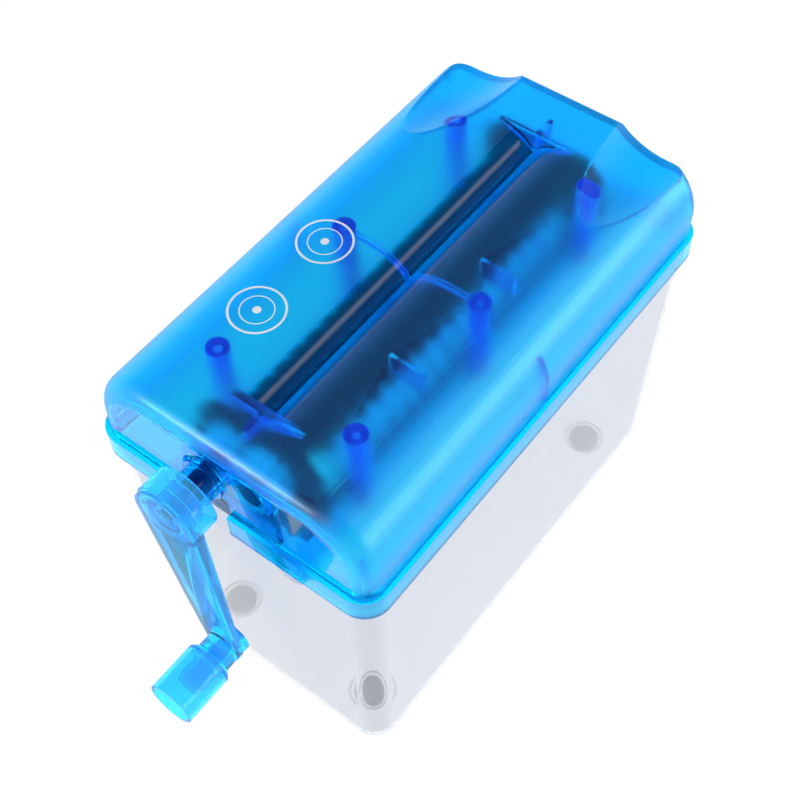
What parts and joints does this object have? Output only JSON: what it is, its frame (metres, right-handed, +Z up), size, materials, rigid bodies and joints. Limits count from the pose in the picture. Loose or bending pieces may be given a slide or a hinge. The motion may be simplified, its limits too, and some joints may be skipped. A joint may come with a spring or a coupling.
{
  "type": "hand crank paper shredder",
  "caption": "Desk paper shredder with a translucent lift-off cutting head, geared cutter rolls, a side crank with a hollow knob, and a clear waste bin.",
  "frame": {"origin": "on the table, under the middle of the shredder with its crank", "axes": "X is the width, +Y points from the crank to the rear, Z is up"},
  "size_m": [0.104, 0.2136, 0.145],
  "materials": {
    "blue_plastic": "translucent blue, softly frosted",
    "bin_plastic": "clear with a slight haze",
    "foot_rubber": "matt",
    "black_plastic": "moulded",
    "cutter_steel": "blackened and oiled",
    "shaft_steel": "ground",
    "gear_nylon": "moulded nylon",
    "bush_bronze": "sintered",
    "screw_steel": "zinc plated"
  },
  "bodies": {
    "bin": {"bin": "bin_plastic", "foot_pads": "foot_rubber"},
    "head": {"top_cover": "blue_plastic", "cutter_chassis": "bin_plastic", "cover_screws": "screw_steel", "front_end_plate": "black_plastic", "rear_end_plate": "black_plastic", "plate_screws": "screw_steel", "front_bushes": "bush_bronze", "rear_bushes": "bush_bronze", "shaft_sleeve": "blue_plastic", "left_stripper_comb": "bin_plastic", "right_stripper_comb": "bin_plastic"},
    "drive": {"drive_shaft": "shaft_steel", "drive_cutters": "cutter_steel", "drive_spacers": "cutter_steel", "drive_gear": "gear_nylon", "drive_clip": "screw_steel", "crank_arm": "blue_plastic", "knob_pin": "blue_plastic"},
    "driven": {"driven_shaft": "shaft_steel", "driven_cutters": "cutter_steel", "driven_spacers": "cutter_steel", "driven_gear": "gear_nylon", "driven_clips": "screw_steel"},
    "knob": {"crank_knob": "blue_plastic"}
  },
  "joints": [
    {"name": "head_lift", "type": "slide", "parent": "bin", "child": "head", "axis": [0, 0, 1], "range_m": [0, 0.06]},
    {"name": "crank_turn", "type": "hinge", "parent": "head", "child": "drive", "pos_m": [-0.007, 0.0193, 0.128], "axis": [0, 1, 0], "continuous": true},
    {"name": "driven_turn", "type": "hinge", "parent": "head", "child": "driven", "pos_m": [0.007, 0.0193, 0.128], "axis": [0, 1, 0], "continuous": true},
    {"name": "knob_spin", "type": "hinge", "parent": "drive", "child": "knob", "pos_m": [0.00363, -0.0977, 0.06306], "axis": [0, 1, 0], "continuous": true}
  ],
  "couplings": [
    {"joint": "driven_turn", "follows": "crank_turn", "ratio": -1}
  ]
}
